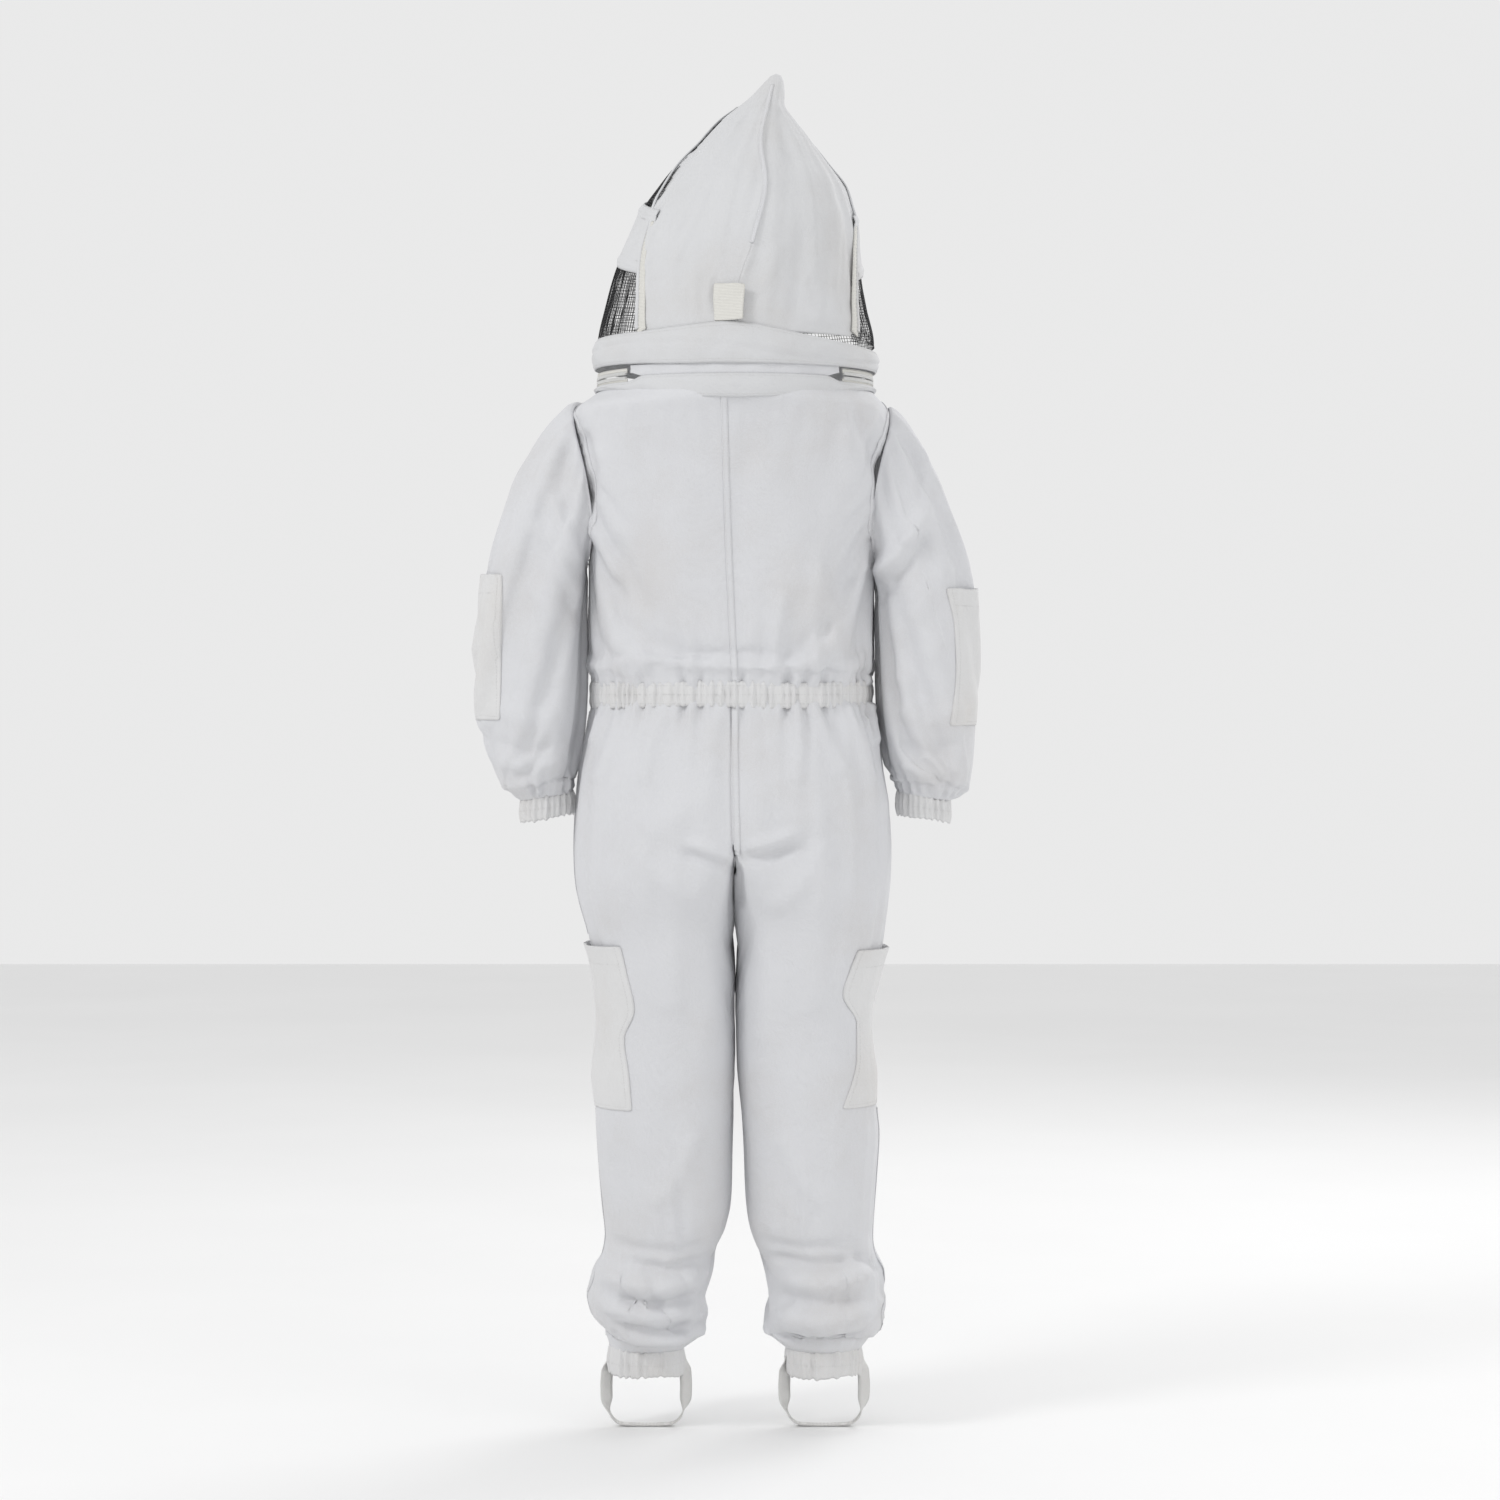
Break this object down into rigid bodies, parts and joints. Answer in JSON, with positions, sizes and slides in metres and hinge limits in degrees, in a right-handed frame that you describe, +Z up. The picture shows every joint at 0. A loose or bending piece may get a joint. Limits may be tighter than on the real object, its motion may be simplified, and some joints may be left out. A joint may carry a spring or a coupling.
{
  "type": "beekeeping suit",
  "caption": "Child's zipped beekeeping coverall with a fold-back veil hood on a ring zip, elastic waist and cuffs, patch pockets and stirrup straps.",
  "frame": {"origin": "on the ground, midway between the feet of the wearer", "axes": "+Z up, the front of the suit faces -Y, the wearer's left is +X"},
  "size_m": [0.552, 0.3288, 1.458],
  "materials": {
    "cloth": "matte plain-weave cotton",
    "pocket_cloth": "matte plain-weave cotton, a little warmer",
    "tape": "ribbed cotton tape",
    "veil_mesh": "black net",
    "elastic": "woven elastic",
    "hoop": "springy plastic strip",
    "zip_teeth": "moulded teeth on woven tape",
    "zip_metal": "nickel-plated"
  },
  "bodies": {
    "suit": {"back_panel_left": "cloth", "back_panel_right": "cloth", "front_panel_left": "cloth", "front_panel_right": "cloth", "trouser_back_left": "cloth", "trouser_back_right": "cloth", "trouser_front_left": "cloth", "trouser_front_right": "cloth", "waist_casing": "cloth", "waist_elastic": "elastic", "ankle_cuff_left": "cloth", "ankle_cuff_right": "cloth", "ankle_elastic_left": "elastic", "ankle_elastic_right": "elastic", "thigh_pocket_left": "pocket_cloth", "thigh_pocket_right": "pocket_cloth", "chest_pocket_left": "pocket_cloth", "chest_pocket_right": "pocket_cloth", "collar_band": "cloth", "collar_zip_chain": "zip_teeth", "main_zip_tape_left": "tape", "main_zip_tape_right": "tape", "main_zip_chain_left": "zip_teeth", "main_zip_chain_right": "zip_teeth", "main_zip_stops": "zip_metal"},
    "hood": {"hood_zip_chain": "zip_teeth", "hood_gusset": "cloth", "hood_base_band": "cloth", "hood_crown_left": "cloth", "hood_crown_right": "cloth", "brow_band": "cloth", "face_veil": "veil_mesh", "upper_veil": "veil_mesh", "hood_side_tape_left": "tape", "hood_side_tape_right": "tape", "brow_hoop_lower": "hoop", "brow_hoop_upper": "hoop", "hood_tab": "tape"},
    "sleeve_left": {"sleeve_left": "cloth", "wrist_cuff_left": "cloth", "wrist_elastic_left": "elastic", "arm_pocket_left": "pocket_cloth"},
    "hood_zip_slider_left": {"hood_zip_slider_left": "zip_metal"},
    "hood_zip_pull_left": {"hood_zip_pull_left": "zip_metal"},
    "stirrup_left": {"stirrup_strap_left": "elastic"},
    "sleeve_right": {"sleeve_right": "cloth", "wrist_cuff_right": "cloth", "wrist_elastic_right": "elastic", "arm_pocket_right": "pocket_cloth"},
    "hood_zip_slider_right": {"hood_zip_slider_right": "zip_metal"},
    "hood_zip_pull_right": {"hood_zip_pull_right": "zip_metal"},
    "stirrup_right": {"stirrup_strap_right": "elastic"},
    "main_zip_slider": {"main_zip_slider": "zip_metal"},
    "main_zip_pull": {"main_zip_pull": "zip_metal"}
  },
  "joints": [
    {"name": "sleeve_left_lift", "type": "hinge", "parent": "suit", "child": "sleeve_left", "pos_m": [0.162, 0, 0.995], "axis": [0, -1, 0], "range_deg": [0, 60]},
    {"name": "sleeve_right_lift", "type": "hinge", "parent": "suit", "child": "sleeve_right", "pos_m": [-0.162, 0, 0.995], "axis": [0, 1, 0], "range_deg": [0, 60]},
    {"name": "hood_fold", "type": "hinge", "parent": "suit", "child": "hood", "pos_m": [0, 0.148, 1.1255], "axis": [-1, 0, 0], "range_deg": [0, 150]},
    {"name": "main_zip", "type": "slide", "parent": "suit", "child": "main_zip_slider", "axis": [0, 0.0599, -0.9982], "range_m": [0, 0.415]},
    {"name": "main_pull_swing", "type": "hinge", "parent": "main_zip_slider", "child": "main_zip_pull", "pos_m": [0, -0.14415, 1.0656], "axis": [-1, 0, 0], "range_deg": [0, 150]},
    {"name": "hood_zip_left", "type": "hinge", "parent": "suit", "child": "hood_zip_slider_left", "pos_m": [0, 0, 1.1255], "axis": [0, 0, 1], "range_deg": [0, 122]},
    {"name": "hood_pull_swing_left", "type": "hinge", "parent": "hood_zip_slider_left", "child": "hood_zip_pull_left", "pos_m": [0.00965, -0.1533, 1.1255], "axis": [0, 0, -1], "range_deg": [0, 150]},
    {"name": "stirrup_swing_left", "type": "hinge", "parent": "suit", "child": "stirrup_left", "pos_m": [0.096, 0, 0.07], "axis": [1, 0, 0], "range_deg": [-50, 50]},
    {"name": "hood_zip_right", "type": "hinge", "parent": "suit", "child": "hood_zip_slider_right", "pos_m": [0, 0, 1.1255], "axis": [0, 0, -1], "range_deg": [0, 122]},
    {"name": "hood_pull_swing_right", "type": "hinge", "parent": "hood_zip_slider_right", "child": "hood_zip_pull_right", "pos_m": [-0.00965, -0.1533, 1.1255], "axis": [0, 0, 1], "range_deg": [0, 150]},
    {"name": "stirrup_swing_right", "type": "hinge", "parent": "suit", "child": "stirrup_right", "pos_m": [-0.096, 0, 0.07], "axis": [1, 0, 0], "range_deg": [-50, 50]}
  ]
}
